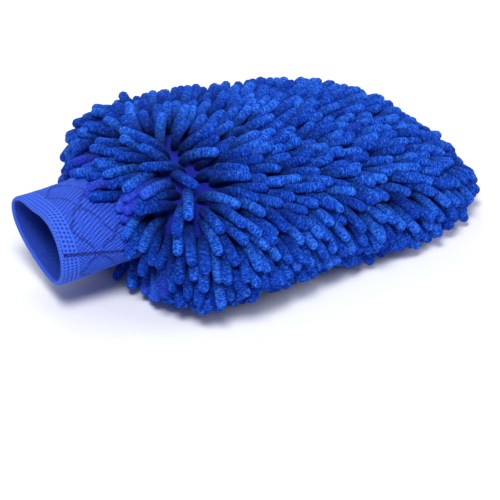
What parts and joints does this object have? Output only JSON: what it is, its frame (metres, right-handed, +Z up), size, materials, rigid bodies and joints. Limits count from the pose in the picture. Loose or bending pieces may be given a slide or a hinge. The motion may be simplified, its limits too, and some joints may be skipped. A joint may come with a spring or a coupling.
{
  "type": "wash mitt",
  "caption": "Hand mitt for washing cars: a lined pocket covered in long soft chenille tufts, with a knitted elastic cuff at its open end.",
  "frame": {"origin": "on the surface the mitt lies on, under the middle of its box", "axes": "+X from the cuff to the finger end, +Y across the mitt, +Z up from the lower panel to the upper one"},
  "size_m": [0.2709, 0.1762, 0.0835],
  "materials": {
    "chenille": "fuzzy microfibre chenille tufts, royal blue",
    "backing": "plain woven backing cloth",
    "lining": "smooth woven lining",
    "cuff_knit": "dotted elastic knit, violet blue",
    "elastic": "covered rubber thread",
    "thread": "sewing thread"
  },
  "bodies": {
    "pocket": {"upper_tuft_row_01": "chenille", "upper_tuft_row_02": "chenille", "upper_tuft_row_03": "chenille", "upper_tuft_row_04": "chenille", "upper_tuft_row_05": "chenille", "upper_tuft_row_06": "chenille", "upper_tuft_row_07": "chenille", "upper_tuft_row_08": "chenille", "upper_tuft_row_09": "chenille", "upper_tuft_row_10": "chenille", "upper_tuft_row_11": "chenille", "upper_tuft_row_12": "chenille", "upper_tuft_row_13": "chenille", "lower_tuft_row_01": "chenille", "lower_tuft_row_02": "chenille", "lower_tuft_row_03": "chenille", "lower_tuft_row_04": "chenille", "lower_tuft_row_05": "chenille", "lower_tuft_row_06": "chenille", "lower_tuft_row_07": "chenille", "lower_tuft_row_08": "chenille", "lower_tuft_row_09": "chenille", "lower_tuft_row_10": "chenille", "lower_tuft_row_11": "chenille", "lower_tuft_row_12": "chenille", "lower_tuft_row_13": "chenille", "upper_backing": "backing", "lower_backing": "backing", "upper_lining": "lining", "lower_lining": "lining", "perimeter_seam": "thread", "lining_seam": "thread"},
    "cuff": {"cuff_face_knit": "cuff_knit", "cuff_back_knit": "cuff_knit", "cuff_rim": "cuff_knit", "elastic_thread_01": "elastic", "elastic_thread_02": "elastic", "elastic_thread_03": "elastic", "elastic_thread_04": "elastic", "elastic_thread_05": "elastic", "elastic_thread_06": "elastic", "elastic_thread_07": "elastic", "elastic_thread_08": "elastic", "cuff_joining_seam": "thread", "cuff_side_seam": "thread"}
  },
  "joints": [
    {"name": "cuff_flex", "type": "hinge", "parent": "pocket", "child": "cuff", "pos_m": [-0.0814, 0, 0.039], "axis": [0, 1, 0], "range_deg": [-10, 30], "stiffness_Nm_per_rad": 0.1}
  ]
}
